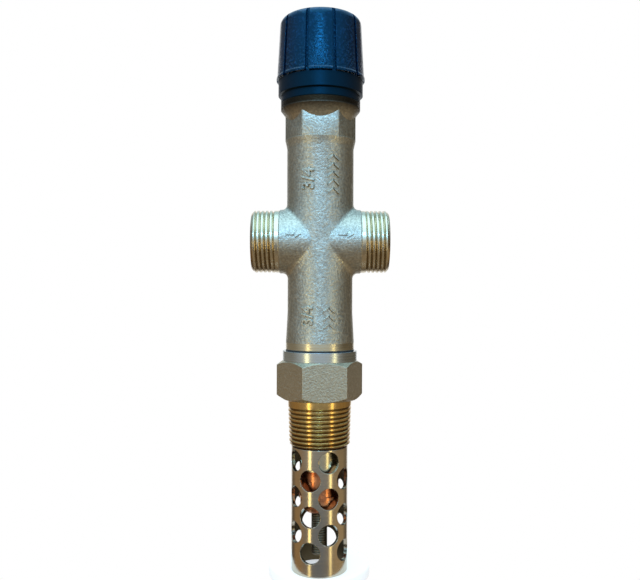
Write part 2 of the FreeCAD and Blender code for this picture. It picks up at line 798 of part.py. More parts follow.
def make_spring_plate():
    """Nut on the spindle's thread, kept from turning by two ears in the bonnet's slots."""
    body = new_body("spring_plate", PLATE_FOOT)
    hole = "spindle_diameter / 2 + running_clearance"
    spigot = "spring_diameter / 2 - spring_wire - moving_gap"
    boss_top = "plate_thickness + plate_boss_height"
    ears = new_sketch(body, "EarsOutline", "XY_Plane")
    draw_rectangle(ears, "-plate_ear_span / 2", "plate_ear_span / 2", "-plate_ear_width / 2", "plate_ear_width / 2")
    extrude(body, "PlateEars", ears, "plate_thickness")
    turn(body, "PlateSection", [
        ("0", "-plate_spigot_height"),
        (spigot, "-plate_spigot_height"),
        (spigot, "0"),
        ("plate_diameter / 2", "0"),
        ("plate_diameter / 2", "plate_thickness"),
        ("plate_boss_diameter / 2", "plate_thickness"),
        ("plate_boss_diameter / 2", boss_top),
        ("0", boss_top),
    ])
    foot = "-plate_spigot_height"
    bore(body, "PlateBore", [("0", foot), (hole, foot), (hole, boss_top), ("0", boss_top)])
    return body


def make_bonnet():
    """Screwed insert that closes the body; its origin is under its hexagon."""
    body = new_body("bonnet", BONNET_SEAT)
    skirt_foot = f"-({BONNET_DEPTH})"
    thread = "bonnet_thread_diameter / 2"
    groove = "bonnet_thread_diameter / 2 - ring_section"
    groove_foot = "-bonnet_ring_drop - (ring_section + ring_groove_room) / 2"
    groove_top = "-bonnet_ring_drop + (ring_section + ring_groove_room) / 2"
    neck_top = "bonnet_head_height + bonnet_neck_length"
    turn(body, "BonnetOutside", [
        ("0", skirt_foot),
        (thread, skirt_foot),
        (thread, groove_foot),
        (groove, groove_foot),
        (groove, groove_top),
        (thread, groove_top),
        (thread, "0"),
        ("bonnet_neck_diameter / 2", "0"),
        ("bonnet_neck_diameter / 2", neck_top),
        ("0", neck_top),
    ])
    hex_prism(body, "BonnetHexagon", "bonnet_head_across", "bonnet_head_height")
    hole = "spindle_diameter / 2 + running_clearance"
    seal_foot = "spindle_ring_rise - (ring_section + ring_groove_room) / 2"
    seal_top = "spindle_ring_rise + (ring_section + ring_groove_room) / 2"
    bore(body, "BonnetBore", [
        ("0", skirt_foot),
        ("bonnet_cavity_diameter / 2", skirt_foot),
        ("bonnet_cavity_diameter / 2", "-bonnet_roof_drop"),
        (hole, "-bonnet_roof_drop"),
        (hole, seal_foot),
        (f"{hole} + ring_section", seal_foot),
        (f"{hole} + ring_section", seal_top),
        (hole, seal_top),
        (hole, neck_top),
        ("0", neck_top),
    ])
    slots = new_sketch(body, "SlotOutline", "YZ_Plane")
    half_width = "plate_ear_width / 2 + slot_clearance"
    slot_top = f"{PLATE_FOOT} + plate_thickness + plate_room - ({BONNET_SEAT})"
    draw_rectangle(slots, f"-({half_width})", half_width, skirt_foot, slot_top)
    cut(body, "EarSlots", slots, "bonnet_thread_diameter", both_ways=True)
    return body


def make_adjusting_spindle():
    """Spindle turned by the knob: setting thread, thrust collar, clip groove and square drive."""
    body = new_body("adjusting_spindle", SPINDLE_STEP)
    shaft = "spindle_diameter / 2"
    collar = "spindle_collar_diameter / 2"
    thread_foot = "-spindle_collar_height - spindle_thread_length"
    clip_groove = "spindle_diameter / 2 - clip_groove_depth"
    clip_foot = f"{CLIP_FOOT} - ({SPINDLE_STEP})"
    clip_top = f"{clip_foot} + clip_thickness"
    drive_foot = f"{DRIVE_FOOT} - ({SPINDLE_STEP})"
    turn(body, "SpindleSection", [
        ("0", thread_foot),
        (shaft, thread_foot),
        (shaft, "-spindle_collar_height"),
        (collar, "-spindle_collar_height"),
        (collar, "0"),
        (shaft, "0"),
        (shaft, clip_foot),
        (clip_groove, clip_foot),
        (clip_groove, clip_top),
        (shaft, clip_top),
        (shaft, drive_foot),
        ("0", drive_foot),
    ])
    square = new_sketch(body, "DriveOutline", "XY_Plane", drive_foot)
    half = "drive_square / 2"
    draw_rectangle(square, f"-{half}", half, f"-{half}", half)
    extrude(body, "DriveSquare", square, "drive_length")
    drive_top = f"{drive_foot} + drive_length"
    tapped_foot = f"{KNOB_FOOT} + {SCREW_SEAT} - screw_length - ({SPINDLE_STEP}) - moving_gap"
    tapped = "screw_diameter / 2"
    tapped_hole = [("0", tapped_foot), (tapped, tapped_foot), (tapped, drive_top), ("0", drive_top)]
    bore(body, "SpindleTappedHole", tapped_hole)
    return body


def make_spindle_clip():
    """Open retaining ring in the spindle's groove."""
    inner = "spindle_diameter / 2 - clip_groove_depth"
    body = flat_ring("spindle_clip", inner, "clip_diameter / 2", "clip_thickness", CLIP_FOOT)
    mouth = new_sketch(body, "ClipMouth", "XY_Plane")
    draw_rectangle(mouth, "0", "clip_diameter", "-clip_mouth / 2", "clip_mouth / 2")
    cut(body, "ClipOpening", mouth, "clip_thickness", reverse=True)
    return body


def make_collar_ring():
    """Smooth stepped ring over the body's head, clamped under the bonnet's hexagon."""
    body = new_body("collar_ring", BODY_TOP)
    hole = f"({HEAD}) / 2"
    lower = f"({COLLAR_LOWER}) / 2"
    upper = f"({COLLAR_UPPER}) / 2"
    recess = f"{upper} - collar_rim"
    web_hole = "bonnet_thread_diameter / 2"
    turn(body, "CollarSection", [
        (hole, "-collar_skirt"),
        (f"{lower} - collar_edge", "-collar_skirt"),
        (lower, "-collar_skirt + collar_edge"),
        (lower, "collar_step_rise"),
        (upper, "collar_step_rise + collar_step_height"),
        (upper, "collar_rise"),
        (recess, "collar_rise"),
        (recess, "collar_web"),
        (web_hole, "collar_web"),
        (web_hole, "0"),
        (hole, "0"),
    ])
    return body


def make_knob():
    """Ribbed hollow knob on the spindle's square; its origin is its lower rim."""
    body = new_body("knob", KNOB_FOOT)
    foot = f"({KNOB_WIDTH}) / 2"
    lip = f"{foot} + knob_lip"
    top = f"{foot} - knob_taper"
    taper_foot = "knob_lip_height + knob_lip_blend"
    turn(body, "KnobOutside", [
        ("0", "0"),
        (lip, "0"),
        (lip, "knob_lip_height"),
        (foot, taper_foot),
        (top, "knob_height"),
        ("0", "knob_height"),
    ])
    rim = round_edges(body, "z", number(top), number("knob_height"))
    dress(body, "KnobTopEdge", "PartDesign::Fillet", rim, Radius="knob_edge")
    hub = "knob_hub_diameter / 2"
    hub_foot = f"{DRIVE_FOOT} - ({KNOB_FOOT})"
    roof = "knob_height - knob_crown"
    bore(body, "KnobHollow", [
        ("0", "0"),
        (f"{foot} - knob_wall", "0"),
        (f"{top} - knob_wall", roof),
        (hub, roof),
        (hub, hub_foot),
        ("0", hub_foot),
    ])
    recess = "screw_recess_diameter / 2"
    screw_hole = "screw_diameter / 2"
    bore(body, "ScrewRecess", [
        ("0", hub_foot),
        (screw_hole, hub_foot),
        (screw_hole, SCREW_SEAT),
        (recess, SCREW_SEAT),
        (recess, "knob_height"),
        ("0", "knob_height"),
    ])
    square = new_sketch(body, "SocketOutline", "XY_Plane", hub_foot)
    half = "drive_square / 2"
    draw_rectangle(square, f"-{half}", half, f"-{half}", half)
    cut(body, "DriveSocket", square, "drive_length", reverse=True)
    gap = body.newObject("PartDesign::Groove", "RibGap")
    outline = new_sketch(body, "RibGapOutline", "XZ_Plane")
    draw_outline(outline, [
        (f"{foot} - knob_groove_depth", "0"),
        (f"{lip} + moving_gap", "0"),
        (f"{lip} + moving_gap", "knob_height"),
        (f"{top} - knob_groove_depth", "knob_height"),
    ])
    before = body.Shape.Volume
    gap.Profile = outline
    gap.ReferenceAxis = (outline, ["V_Axis"])
    gap.Midplane = True
    bind(gap, Angle="knob_groove_angle")
    settle(body, before)
    pattern_round(body, "RibGaps", [gap], "knob_ribs")
    return body


def make_knob_screw():
    """Cross-recessed screw in the knob's top; its origin is under its head."""
    body = new_body("knob_screw", f"{KNOB_FOOT} + {SCREW_SEAT}")
    shank = "screw_diameter / 2"
    head = "screw_head_diameter / 2"
    turn(body, "ScrewSection", [
        ("0", "-screw_length"),
        (shank, "-screw_length"),
        (shank, "0"),
        (head, "0"),
        (head, "screw_head_height"),
        ("0", "screw_head_height"),
    ])
    half_length = "screw_cross_length / 2"
    half_width = "screw_cross_width / 2"
    for name, across, along in (("First", half_length, half_width), ("Second", half_width, half_length)):
        slot = new_sketch(body, f"{name}SlotOutline", "XY_Plane", "screw_head_height")
        draw_rectangle(slot, f"-{across}", across, f"-{along}", along)
        cut(body, f"{name}Slot", slot, "screw_cross_depth")
    return body


stem_ring_radius = "stem_diameter / 2 + running_clearance + ring_section / 2"
spindle_ring_radius = "spindle_diameter / 2 + running_clearance + ring_section / 2"
bonnet_ring_radius = "bonnet_thread_diameter / 2 - ring_section / 2"

pieces = [
    make_valve_body(),
    make_connector(),
    flat_ring("connector_gasket", "joint_thread_diameter / 2", f"({BODY_FOOT_WIDTH}) / 2",
              "joint_gasket_thickness", "hex_height + joint_collar_height"),
    make_sensor_sleeve(),
    make_element_guide(),
    make_element_capsule(),
    make_element_stud(),
    make_element_piston(),
    make_gland_bush(),
    flat_ring("gland_gasket", "gland_thread_diameter / 2", "gland_head_across / 2",
              "gland_gasket_thickness", CONNECTOR_TOP),
    seal_ring("stem_o_ring", stem_ring_radius, f"{GLAND_SEAT} - gland_ring_drop"),
    make_valve_stem(),
    make_disc_holder(),
    flat_ring("disc_washer", "stem_diameter / 2", "washer_diameter / 2", "washer_thickness", WASHER_FOOT),
    make_disc_nut(),
    make_setting_spring(),
    make_spring_plate(),
    make_bonnet(),
    seal_ring("bonnet_o_ring", bonnet_ring_radius, f"{BONNET_SEAT} - bonnet_ring_drop"),
    make_adjusting_spindle(),
    flat_ring("thrust_washer", "spindle_diameter / 2 + running_clearance", "thrust_washer_diameter / 2",
              "thrust_washer_thickness", f"{BONNET_SEAT} - bonnet_roof_drop - thrust_washer_thickness"),
    seal_ring("spindle_o_ring", spindle_ring_radius, f"{BONNET_SEAT} + spindle_ring_rise"),
    make_spindle_clip(),
    make_collar_ring(),
    make_knob(),
    make_knob_screw(),
]

doc.recompute()
for item in doc.Objects:
    if "Invalid" in item.State or "Error" in item.State:
        raise RuntimeError(f"{item.Name} did not recompute: {item.State}")
for piece in pieces:
    if piece.Shape.isNull() or not piece.Shape.isValid() or len(piece.Shape.Solids) != 1:
        raise RuntimeError(f"{piece.Label} is not one valid solid")

os.makedirs("parts", exist_ok=True)
for piece in pieces:
    piece.Shape.exportStep(f"parts/{piece.Label}.step")
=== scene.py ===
import math

import bmesh
import bpy
from bpy.props import FloatProperty, FloatVectorProperty, IntProperty, PointerProperty, StringProperty
from mathutils import Matrix, Vector


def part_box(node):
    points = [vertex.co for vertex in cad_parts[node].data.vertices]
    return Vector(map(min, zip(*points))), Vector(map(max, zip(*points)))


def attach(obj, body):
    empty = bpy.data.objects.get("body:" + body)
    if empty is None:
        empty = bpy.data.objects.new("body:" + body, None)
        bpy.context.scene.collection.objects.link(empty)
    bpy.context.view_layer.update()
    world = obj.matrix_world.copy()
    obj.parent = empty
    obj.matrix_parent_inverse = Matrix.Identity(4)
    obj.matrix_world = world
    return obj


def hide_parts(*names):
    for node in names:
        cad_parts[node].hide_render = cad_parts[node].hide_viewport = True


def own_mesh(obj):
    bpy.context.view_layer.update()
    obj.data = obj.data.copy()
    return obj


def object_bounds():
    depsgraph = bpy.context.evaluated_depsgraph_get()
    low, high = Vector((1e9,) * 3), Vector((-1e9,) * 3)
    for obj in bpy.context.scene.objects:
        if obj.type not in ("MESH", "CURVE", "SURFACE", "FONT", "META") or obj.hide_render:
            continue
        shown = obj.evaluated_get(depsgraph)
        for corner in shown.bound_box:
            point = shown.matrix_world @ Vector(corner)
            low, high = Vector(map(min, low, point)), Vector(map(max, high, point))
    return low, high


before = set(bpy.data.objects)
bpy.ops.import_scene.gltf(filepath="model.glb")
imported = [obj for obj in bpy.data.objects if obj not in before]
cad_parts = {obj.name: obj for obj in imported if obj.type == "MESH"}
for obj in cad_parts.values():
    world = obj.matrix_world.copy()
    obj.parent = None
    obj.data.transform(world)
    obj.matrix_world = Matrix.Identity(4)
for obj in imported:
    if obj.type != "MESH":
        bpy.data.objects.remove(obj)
CAD_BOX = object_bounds()

bl_info = {
    "name": "Thermal Discharge Valve",
    "version": (1, 0, 0),
    "blender": (4, 5, 0),
    "location": "View3D > Sidebar > Valve",
    "description": "Dresses the valve's solids with threads, raised marks and finishes, and lights them",
    "category": "Object",
}

BODY_LOW, BODY_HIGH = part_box("valve_body")
SPRING_LOW, SPRING_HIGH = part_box("setting_spring")

# Radius that the finishes ease a sharp edge by, and the distance that welds corners, in metres.
EDGE = 0.00025
WELD = 1e-7

# Port grooves: how far the cutter stands over the crests and stops short of the neck, in metres, and how
# far it climbs in its last turn, as a multiple of the groove's depth.
GROOVE_OVER = 0.00012
GROOVE_STOP = 0.0004
GROOVE_CLIMB = 1.1

# Where one finish gives way to another, in metres.
BORE_RADIUS = 0.0125
RIM_RADIUS = 0.0164
FOOT_TOP = BODY_LOW.z + 0.0029
FLATS_TOP = BODY_HIGH.z - 0.011
# Heights between which painted shade darkens the forging under the collar.
COLLAR_SHADE_HEIGHTS = (BODY_HIGH.z - 0.0088, BODY_HIGH.z - 0.0044)
KNOB_FADE_HEIGHTS = (CAD_BOX[1].z - 0.023, CAD_BOX[1].z - 0.011)
PORT_FACE_GAP = 0.0002
# Heights about the port axis across which painted shade darkens the lower thread roots.
ROOTS_BELOW_AXIS = 0.003
ROOTS_ABOVE_AXIS = 0.005
BOILER_THREAD_TOP = -1e-5
HEXAGON_TOP = 0.0163

# Limits that sort faces by their normals: the Z part of level, upright and downward faces, and the outward
# part, times the radius, of the faces that line the sleeve.
LEVEL = 0.9
UPRIGHT = 0.05
DOWNWARD = -0.3
SLEEVE_INWARD = -1e-4

# Radii of the forging under its raised marks, the step between chevrons and the arrows' place above the
# port axis, in metres, and the height of the font's figures as a share of its size.
UPPER_MARK_RADIUS = 0.0142
LOWER_MARK_RADIUS = 0.01385
NECK_MARK_RADIUS = 0.0136
CHEVRON_STEP = 0.0034
ARROW_LIFT = 0.0022
FIGURE_SHARE = 0.72

# Scale at which the bands of a wave texture stand 1 mm apart.
STUD_WAVES = 314.0

# Sheen of the black plastic, and the share of its grain that is left where it is worn.
BLUE_SHEEN = (0.07, 0.58, 1.0, 1.0)
WORN_GRAIN = 0.2

# Table: its size, the valve's distance from its front edge, in metres, and the glow that shows it pale.
TABLE_RADIUS = 0.022
TABLE_THICKNESS = 0.005
TABLE_EDGE = 0.001
TABLE_FRONT = 0.014
TABLE_GLOW = 0.55

# Direction of the middle of the window in front.
WINDOW_WAY = (-0.100, -0.934, 0.342)


class ValveThreads(bpy.types.PropertyGroup):
    """Sizes of the pipe threads on the ports and on the connector."""

    pitch: FloatProperty(
        name="Pitch", description="Distance from crest to crest", default=0.001814, unit="LENGTH")
    depth: FloatProperty(
        name="Depth", description="Depth of the groove under the crests", default=0.0008, unit="LENGTH")
    crest: FloatProperty(
        name="Crest", description="Share of the pitch that is left flat", default=0.40, subtype="FACTOR")
    steps: IntProperty(
        name="Steps", description="Mesh steps in one turn of the groove", default=72)
    port_height: FloatProperty(
        name="Port Height", description="Height of the port axis", default=0.067, unit="LENGTH")
    port_radius: FloatProperty(
        name="Port Radius", description="Crest radius of the port threads", default=0.01322, unit="LENGTH")
    port_start: FloatProperty(
        name="Port Start", description="Where the port thread leaves the neck", default=0.018, unit="LENGTH")
    boiler_radius: FloatProperty(
        name="Boiler Radius", description="Crest radius at the hexagon", default=0.01355, unit="LENGTH")
    boiler_taper: FloatProperty(
        name="Boiler Taper", description="Loss of radius for each metre of thread", default=1 / 32)


class ValveMarks(bpy.types.PropertyGroup):
    """The plain raised marks on the forging."""

    size_text: StringProperty(
        name="Size", description="Plain thread size raised on the forging", default="3/4")
    height: FloatProperty(
        name="Height", description="Height of the raised figures", default=0.0052, unit="LENGTH")
    relief: FloatProperty(
        name="Relief", description="How far the marks stand off the forging", default=0.0007, unit="LENGTH")


class ValveFinishes(bpy.types.PropertyGroup):
    """Colours of the finishes."""

    forged: FloatVectorProperty(
        name="Forged Brass", description="Blasted skin of the forging",
        default=(0.59, 0.56, 0.46), subtype="COLOR")
    turned: FloatVectorProperty(
        name="Turned Brass", description="Freshly turned faces",
        default=(0.66, 0.60, 0.44), subtype="COLOR")
    port: FloatVectorProperty(
        name="Port Brass", description="Cut threads of the ports",
        default=(0.69, 0.62, 0.455), subtype="COLOR")
    collar_brass: FloatVectorProperty(
        name="Collar Brass", description="Pale turned collar of the connector",
        default=(0.58, 0.64, 0.66), subtype="COLOR")
    thread: FloatVectorProperty(
        name="Thread Brass", description="Cut thread of the boiler end",
        default=(0.64, 0.43, 0.16), subtype="COLOR")
    hexagon: FloatVectorProperty(
        name="Hexagon Brass", description="Satin bar stock of the hexagon",
        default=(0.56, 0.49, 0.36), subtype="COLOR")
    sleeve: FloatVectorProperty(
        name="Sleeve Brass", description="Drawn tube of the sleeve",
        default=(0.58, 0.51, 0.40), subtype="COLOR")
    copper: FloatVectorProperty(
        name="Copper", description="Capsule of the thermal element",
        default=(0.72, 0.30, 0.14), subtype="COLOR")
    knob: FloatVectorProperty(
        name="Knob Black", description="Moulded knob",
        default=(0.0016, 0.008, 0.024), subtype="COLOR")
    collar: FloatVectorProperty(
        name="Collar Black", description="Smooth collar",
        default=(0.001, 0.004, 0.010), subtype="COLOR")


class ValveStage(bpy.types.PropertyGroup):
    """Camera, lamps and table."""

    distance: FloatProperty(
        name="Distance", description="Camera distance from the valve's axis", default=0.311, unit="LENGTH")
    eye_height: FloatProperty(
        name="Eye Height", description="Height of the camera", default=0.0442, unit="LENGTH")
    lens: FloatProperty(
        name="Lens", description="Focal length in millimetres", default=40.78)
    shift: FloatProperty(
        name="Shift", description="Rise of the view as a share of its width", default=0.0078)
    roll: FloatProperty(
        name="Roll", description="Slight lean of the camera", default=math.radians(-0.18), subtype="ANGLE")
    panel_power: FloatProperty(
        name="Panel", description="Watts of the cool panel overhead", default=6.1)
    front_power: FloatProperty(
        name="Front Lamp", description="Watts of the blue lamp high in front", default=1.9)
    lamp_power: FloatProperty(
        name="Lamps", description="Watts of the warm lamp on the left", default=0.9)
    table: FloatVectorProperty(
        name="Table", description="Table top",
        default=(0.70, 0.68, 0.66), subtype="COLOR")


def show(name, mesh):
    """Put a mesh in the scene as a new object."""
    piece = bpy.data.objects.new(name, mesh)
    bpy.context.scene.collection.objects.link(piece)
    return piece


def finished_mesh(build, name):
    """Turn an edit mesh into a mesh whose faces point outwards."""
    bmesh.ops.recalc_face_normals(build, faces=build.faces)
    mesh = bpy.data.meshes.new(name)
    build.to_mesh(mesh)
    build.free()
    return mesh


def soften(mesh, degrees=32):
    """Shade a mesh smooth, with an edge wherever it turns by more than an angle."""
    mesh.shade_smooth()
    mesh.set_sharp_from_angle(angle=math.radians(degrees))


def copy_of_node(node, name):
    """Copy a CAD node's mesh into a new welded object."""
    build = bmesh.new()
    build.from_mesh(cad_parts[node].data)
    bmesh.ops.remove_doubles(build, verts=build.verts, dist=WELD)
    mesh = finished_mesh(build, name)
    if "custom_normal" in mesh.attributes:
        mesh.attributes.remove(mesh.attributes["custom_normal"])
    return show(name, mesh)


def take_away(piece, cutter):
    """Cut one object out of another and drop the cutter."""
    before = len(piece.data.polygons)
    tool = piece.modifiers.new("Cut", "BOOLEAN")
    tool.operation = "DIFFERENCE"
    tool.solver = "EXACT"
    tool.object = cutter
    solved = piece.evaluated_get(bpy.context.evaluated_depsgraph_get())
    mesh = bpy.data.meshes.new_from_object(solved)
    piece.modifiers.remove(tool)
    piece.data = mesh
    bpy.data.objects.remove(cutter)
    if len(mesh.polygons) <= before:
        raise RuntimeError(f"{piece.name}: the cut took nothing away")


def join_rows(build, rows, capped=True):
    """Join a run of closed rows of corners into a tube, and close its ends where it is capped."""
    for row, following in zip(rows, rows[1:]):
        for corner in range(len(row)):
            beside = (corner + 1) % len(row)
            build.faces.new((row[corner], row[beside], following[beside], following[corner]))
    if capped:
        build.faces.new(rows[0])
        build.faces.new(reversed(rows[-1]))


def groove(name, threads, place, first, last, lift_at):
    """Helical V groove along its own Z, from first to last, as a solid to cut with."""
    turns = (last - first) / threads.pitch
    count = int(abs(turns) * threads.steps)
    half = threads.pitch * (1 - threads.crest) / 2
    reach = half * (1 + GROOVE_OVER / threads.depth)
    build = bmesh.new()
    rows = []
    for step in range(count + 1):
        share = step / count
        height = first + (last - first) * share
        angle = 2 * math.pi * turns * share
        crest = threads.port_radius + lift_at(height)
        row = []
        for across, out in ((-reach, GROOVE_OVER), (reach, GROOVE_OVER), (0.0, -threads.depth)):
            radius = crest + out
            point = Vector((radius * math.cos(angle), radius * math.sin(angle), height + across))
            row.append(build.verts.new(place @ point))
        rows.append(row)
    join_rows(build, rows)
    return show(name, finished_mesh(build, name))


def turned(name, profile, steps):
    """Turn an outline of radius and height, which starts and ends on the Z axis, about that axis."""
    build = bmesh.new()
    rings = []
    for step in range(steps):
        angle = 2 * math.pi * step / steps
        rings.append([build.verts.new((r * math.cos(angle), r * math.sin(angle), z)) for r, z in profile])
    join_rows(build, rings + rings[:1], capped=False)
    bmesh.ops.remove_doubles(build, verts=build.verts, dist=WELD)
    return show(name, finished_mesh(build, name))


def eased(before, corner, after, radius, steps=4):
    """Points of a curve that rounds one corner of an outline."""
    corner = Vector(corner)
    first = corner + (Vector(before) - corner).normalized() * radius
    last = corner + (Vector(after) - corner).normalized() * radius
    points = []
    for step in range(steps + 1):
        share = step / steps
        points.append(first * (1 - share) ** 2 + corner * 2 * share * (1 - share) + last * share ** 2)
    return [tuple(point) for point in points]


def mixed(tree, share, first, second):
    """Mix two colours, each given as numbers or as an output, by a share."""
    node = tree.nodes.new("ShaderNodeMix")
    node.data_type = "RGBA"
    tree.links.new(share, node.inputs["Factor"])
    # The colour sockets have the same names as the node's other sockets, so they go by number.
    for socket, colour in ((node.inputs[6], first), (node.inputs[7], second)):
        if isinstance(colour, bpy.types.NodeSocket):
            tree.links.new(colour, socket)
        else:
            socket.default_value = (*colour, 1.0)
    return node.outputs[2]


class Finish:
    """A material under construction, with its shader and the piece's own coordinates."""

    def __init__(self, name, metallic):
        self.material = bpy.data.materials.new(name)
        self.material.use_nodes = True
        self.tree = self.material.node_tree
        self.shader = self.tree.nodes["Principled BSDF"]
        self.shader.inputs["Metallic"].default_value = metallic
        self.place = self.add("ShaderNodeTexCoord").outputs["Object"]

    def add(self, kind, **settings):
        node = self.tree.nodes.new(kind)
        for name, value in settings.items():
            setattr(node, name, value)
        return node

    def join(self, output, node, name):
        self.tree.links.new(output, node.inputs[name])

    def noise(self, scale, detail, stretch=(1.0, 1.0, 1.0)):
        """Noise whose grains are about one over the scale, in metres."""
        spread = self.add("ShaderNodeMapping")
        spread.inputs["Scale"].default_value = stretch
        self.join(self.place, spread, "Vector")
        node = self.add("ShaderNodeTexNoise")
        node.inputs["Scale"].default_value = scale
        node.inputs["Detail"].default_value = detail
        node.inputs["Roughness"].default_value = 0.55
        self.join(spread.outputs["Vector"], node, "Vector")
        return node.outputs["Fac"]

    def between(self, value, low, high, from_low=0.3, from_high=0.7):
        """Map a value onto a range."""
        node = self.add("ShaderNodeMapRange")
        node.inputs["From Min"].default_value = from_low
        node.inputs["From Max"].default_value = from_high
        node.inputs["To Min"].default_value = low
        node.inputs["To Max"].default_value = high
        self.join(value, node, "Value")
        return node.outputs["Result"]

    def share(self, value, low=0.3, high=0.7):
        """How far a value stands from low to high, from 0 to 1."""
        return self.between(value, 0, 1, low, high)

    def blend(self, share, first, second):
        """Mix two colours by a share."""
        return mixed(self.tree, share, first, second)

    def coordinate(self, axis):
        """One of the piece's coordinates."""
        node = self.add("ShaderNodeSeparateXYZ")
        self.join(self.place, node, "Vector")
        return node.outputs[axis]

    def radius(self, centre, keep):
        """Distance from a line through a centre, over the coordinates that keep leaves in."""
        moved = self.add("ShaderNodeVectorMath", operation="SUBTRACT")
        moved.inputs[1].default_value = centre
        self.tree.links.new(self.place, moved.inputs[0])
        flat = self.add("ShaderNodeVectorMath", operation="MULTIPLY")
        flat.inputs[1].default_value = keep
        self.tree.links.new(moved.outputs[0], flat.inputs[0])
        length = self.add("ShaderNodeVectorMath", operation="LENGTH")
        self.tree.links.new(flat.outputs[0], length.inputs[0])
        return length.outputs["Value"]

    def less(self, value, other, factor):
        """A value less a multiple of another."""
        node = self.add("ShaderNodeMath", operation="MULTIPLY_ADD")
        self.tree.links.new(other, node.inputs[0])
        node.inputs[1].default_value = -factor
        self.tree.links.new(value, node.inputs[2])
        return node.outputs[0]

    def colour(self, output):
        self.join(output, self.shader, "Base Color")

    def rough(self, output):
        self.join(output, self.shader, "Roughness")

    def bump(self, heights, edge=0.0):
        """Stack bumps, each a height output, its distance in metres and its strength, over eased edges."""
        below = None
        if edge:
            rounded = self.add("ShaderNodeBevel", samples=6)
            rounded.inputs["Radius"].default_value = edge
            below = rounded.outputs["Normal"]
        for height, distance, strength in heights:
            node = self.add("ShaderNodeBump")
            node.inputs["Distance"].default_value = distance
            node.inputs["Strength"].default_value = strength
            self.join(height, node, "Height")
            if below is not None:
                self.join(below, node, "Normal")
            below = node.outputs["Normal"]
        self.join(below, self.shader, "Normal")


def shade(colour, factor):
    """A lighter or darker colour."""
    return tuple(min(1.0, part * factor) for part in colour)


def tinted(colour, tint):
    """A colour with each part scaled by its own factor."""
    return tuple(min(1.0, part * factor) for part, factor in zip(colour, tint))


def forged_brass(finishes, name="forged_brass", stain=None):
    """Blasted forging: fine grain, soft dents and an uneven skin; painted shade comes in between two
    heights, darkest at the upper one.
    """
    finish = Finish(name, 1.0)
    base = tuple(finishes.forged)
    grain = finish.noise(1050, detail=3.0)
    clouds = finish.noise(170, detail=4.0)
    skin = finish.blend(finish.share(clouds), tinted(base, (0.94, 0.93, 0.88)), shade(base, 1.06))
    tone = finish.blend(finish.share(grain, 0.38, 0.66), shade(base, 0.68), skin)
    # Painted shade: the colour darkens almost to black towards the upper height.
    if stain:
        collar_shade = finish.share(finish.coordinate("Z"), *stain)
        tone = finish.blend(collar_shade, tone, tinted(base, (0.045, 0.033, 0.023)))
    finish.colour(tone)
    finish.rough(finish.between(finish.noise(900, detail=3.0), 0.34, 0.48))
    dents = finish.noise(260, detail=2.0)
    finish.bump([(dents, 0.0002, 0.55), (grain, 0.00023, 0.80)], EDGE)
    return finish.material


def turned_brass(finishes, name, colour=None, roughness=(0.20, 0.32)):
    """Turned brass: fine rings round the axis over a clean metal."""
    finish = Finish(name, 1.0)
    base = colour or tuple(finishes.turned)
    rings = finish.noise(1.0, detail=3.0, stretch=(25.0, 25.0, 4200.0))
    clouds = finish.noise(140, detail=3.0)
    tone = finish.blend(finish.share(clouds), tinted(base, (0.90, 0.87, 0.80)), base)
    finish.colour(finish.blend(finish.share(rings), shade(base, 0.84), tone))
    finish.rough(finish.between(rings, *roughness))
    finish.bump([(rings, 0.00003, 0.45)], EDGE)
    return finish.material


def thread_brass(name, colour, centre, keep, root, crest, dark, taper=0.0, roughness=(0.16, 0.28),
                 lower_shade=None):
    """Cut thread: bright crests over darker roots, which painted shade darkens more below a height."""
    finish = Finish(name, 1.0)
    distance = finish.radius(centre, keep)
    if taper:
        distance = finish.less(distance, finish.coordinate("Z"), taper)
    drag = finish.noise(600, detail=3.0)
    tone = finish.blend(finish.share(drag), shade(colour, 0.88), shade(colour, 1.05))
    depths = tinted(colour, dark)
    # Painted shade: below a height the roots take a darker tint.
    if lower_shade:
        tint, low, high = lower_shade
        above = finish.share(finish.coordinate("Z"), low, high)
        depths = finish.blend(above, tinted(colour, tint), depths)
    finish.colour(finish.blend(finish.share(distance, root, crest), depths, tone))
    finish.rough(finish.between(drag, *roughness))
    finish.bump([(drag, 0.00003, 0.4)], EDGE)
    return finish.material


def stud_brass(finishes):
    """Brass rod with a fine thread, darker than the turned brass."""
    finish = Finish("stud_brass", 1.0)
    base = tinted(finishes.turned, (0.42, 0.38, 0.34))
    turns = finish.add("ShaderNodeTexWave", bands_direction="Z")
    turns.inputs["Scale"].default_value = STUD_WAVES
    finish.join(finish.place, turns, "Vector")
    groove = turns.outputs["Fac"]
    stain = finish.noise(300, detail=4.0)
    tone = finish.blend(finish.share(stain), shade(base, 0.75), base)
    finish.colour(finish.blend(groove, shade(base, 0.35), tone))
    finish.rough(finish.between(stain, 0.25, 0.40))
    finish.bump([(groove, 0.0003, 0.8)])
    return finish.material


def hexagon_brass(finishes):
    """Drawn bar stock: satin grain with faint lines along the flats."""
    finish = Finish("hexagon_brass", 1.0)
    base = tuple(finishes.hexagon)
    lines = finish.noise(1.0, detail=3.0, stretch=(350.0, 350.0, 1500.0))
    grain = finish.noise(1300, detail=2.0)
    tone = finish.blend(finish.share(grain), shade(base, 0.74), shade(base, 1.14))
    finish.colour(finish.blend(finish.share(lines), tinted(base, (0.92, 0.90, 0.84)), tone))
    finish.rough(finish.between(grain, 0.36, 0.48))
    finish.bump([(lines, 0.00003, 0.35), (grain, 0.0002, 0.8)], EDGE)
    return finish.material


def copper(finishes):
    """Copper with brown heat stains."""
    finish = Finish("copper", 1.0)
    base = tuple(finishes.copper)
    stain = finish.noise(130, detail=5.0)
    brown = tinted(base, (0.45, 0.32, 0.30))
    finish.colour(finish.blend(finish.share(stain, 0.42, 0.60), brown, base))
    finish.rough(finish.between(finish.noise(420, detail=3.0), 0.18, 0.36))
    finish.bump([(finish.noise(900, detail=2.0), 0.00003, 0.3)])
    return finish.material


